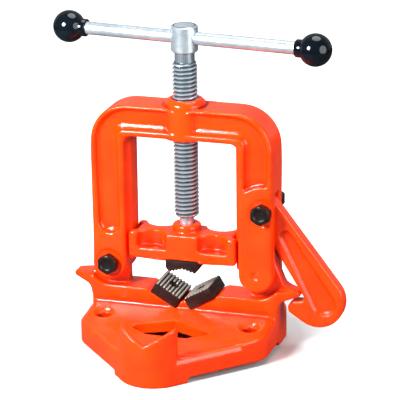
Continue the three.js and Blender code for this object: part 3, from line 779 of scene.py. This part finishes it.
class VISE_OT_stage(bpy.types.Operator):
    """Make the camera, lamps, floor and white room"""

    bl_idname = "vise.stage"
    bl_label = "Stage"

    def execute(self, context):
        scene, stage = context.scene, context.scene.vise_stage
        scene.view_settings.view_transform = "Standard"
        self.camera(scene, stage)
        self.room(scene, stage)
        self.floor(scene)
        aim = Vector((stage.aim_x, 0, stage.aim_z))
        # Name, place from the aim point, width and power.
        for name, offset, size, power in (
            ("key_lamp", (-0.34, -0.55, 0.38), 0.28, stage.key),
            ("fill_lamp", (1.05, -0.4, 0.3), 1.0, stage.fill),
            ("top_lamp", (0.1, 0.2, 1.1), 0.8, stage.top),
        ):
            self.lamp(scene, name, aim + Vector(offset), aim, size, power)
        return {"FINISHED"}

    def camera(self, scene, stage):
        """The photograph's camera, round the aim point."""
        azimuth, elevation, roll = stage.azimuth, stage.elevation, stage.roll
        back = Vector((
            math.sin(azimuth) * math.cos(elevation),
            -math.cos(azimuth) * math.cos(elevation),
            math.sin(elevation),
        ))
        level = Vector((math.cos(azimuth), math.sin(azimuth), 0))
        upright = back.cross(level)
        right = math.cos(roll) * level + math.sin(roll) * upright
        up = back.cross(right)
        data = bpy.data.cameras.new("photo_camera")
        data.sensor_width = 36
        data.lens = stage.lens
        data.clip_start = 0.1
        camera = bpy.data.objects.new("photo_camera", data)
        place = Vector((stage.aim_x, 0, stage.aim_z)) + stage.distance * back
        camera.matrix_world = Matrix((
            (right.x, up.x, back.x, place.x),
            (right.y, up.y, back.y, place.y),
            (right.z, up.z, back.z, place.z),
            (0, 0, 0, 1),
        ))
        scene.collection.objects.link(camera)
        scene.camera = camera

    def room(self, scene, stage):
        """A room that looks white and lights the vise dimly from the front and more from behind."""
        world = bpy.data.worlds.new("white_room")
        world.use_nodes = True
        tree = world.node_tree
        heading = add_node(tree, "TexCoord", "Generated")
        depth = add_node(tree, "SeparateXYZ", "Y", Vector=heading)
        level = add_node(
            tree,
            "MapRange",
            0,
            {"interpolation_type": "SMOOTHSTEP"},
            _0=depth,
            _1=0.0,
            _2=0.7,
            _3=stage.room_front,
            _4=stage.room_back,
        )
        light = wire(tree, tree.nodes["Background"], Color=(1, 1, 1, 1), Strength=level).outputs[0]
        seen = add_node(tree, "Background", Color=(1, 1, 1, 1), Strength=1.0)
        from_camera = add_node(tree, "LightPath", "Is Camera Ray")
        chosen = add_node(tree, "MixShader", _0=from_camera, _1=light, _2=seen)
        wire(tree, tree.nodes["World Output"], Surface=chosen)
        scene.world = world

    def floor(self, scene):
        """A floor that keeps the shadow near the vise, fades to white and hardly shows in the paint."""
        near, far = 88 * MM, 150 * MM
        grey, seen_grey = (0.06, 0.06, 0.06, 1), (0.55, 0.55, 0.55, 1)
        material, tree, shader, place = new_material("white_sweep")
        seen = add_node(tree, "LightPath", "Is Camera Ray")
        away = add_node(tree, "VectorMath", "Value", {"operation": "LENGTH"}, _0=place)
        glow = add_node(tree, "MapRange", _0=away, _1=near, _2=far)
        lift = add_node(tree, "Math", 0, {"operation": "MULTIPLY"}, _0=seen, _1=glow)
        tone = add_node(tree, "Mix", 2, BLEND, _0=seen, _6=grey, _7=seen_grey)
        wire(tree, shader, Base_Color=tone, Roughness=0.8)
        wire(tree, shader, Emission_Color=(1, 1, 1, 1), Emission_Strength=lift)
        shell = bmesh.new()
        bmesh.ops.create_grid(shell, x_segments=1, y_segments=1, size=3)
        mesh = bpy.data.meshes.new("floor")
        shell.to_mesh(mesh)
        shell.free()
        floor = bpy.data.objects.new("floor", mesh)
        mesh.materials.append(material)
        scene.collection.objects.link(floor)

    def lamp(self, scene, name, place, aim, size, power):
        """A round lamp that faces the aim point."""
        data = bpy.data.lights.new(name, "AREA")
        data.shape = "DISK"
        data.size = size
        data.energy = power
        lamp = bpy.data.objects.new(name, data)
        lamp.location = place
        lamp.rotation_euler = (aim - place).to_track_quat("-Z", "Y").to_euler()
        scene.collection.objects.link(lamp)


class VISE_PT_panel(bpy.types.Panel):
    """Lists the vise's pieces"""

    bl_label = "Pipe Vise"
    bl_idname = "VISE_PT_panel"
    bl_space_type = "VIEW_3D"
    bl_region_type = "UI"
    bl_category = "Vise"

    def draw(self, context):
        for operator in OPERATORS:
            self.layout.operator(operator.bl_idname)
        for group in (context.scene.vise_sizes, context.scene.vise_finish, context.scene.vise_stage):
            for name in group.__annotations__:
                self.layout.prop(group, name)


GROUPS = {"vise_sizes": ViseSizes, "vise_finish": ViseFinish, "vise_stage": ViseStage}
OPERATORS = (VISE_OT_castings, VISE_OT_jaws, VISE_OT_bolts, VISE_OT_screw, VISE_OT_handle, VISE_OT_stage)


def register():
    """Registers the property groups, operators and panel."""
    for group in GROUPS.values():
        bpy.utils.register_class(group)
    for name, group in GROUPS.items():
        setattr(bpy.types.Scene, name, PointerProperty(type=group))
    for operator in OPERATORS:
        bpy.utils.register_class(operator)
    bpy.utils.register_class(VISE_PT_panel)


def unregister():
    """Takes back what register does."""
    bpy.utils.unregister_class(VISE_PT_panel)
    for operator in reversed(OPERATORS):
        bpy.utils.unregister_class(operator)
    for name, group in GROUPS.items():
        delattr(bpy.types.Scene, name)
        bpy.utils.unregister_class(group)


def main():
    """Builds all pieces and the stage."""
    register()
    bpy.ops.vise.castings()
    bpy.ops.vise.jaws()
    bpy.ops.vise.bolts()
    bpy.ops.vise.screw()
    bpy.ops.vise.handle()
    bpy.ops.vise.stage()
    bpy.context.view_layer.update()


if __name__ == "__main__":
    main()
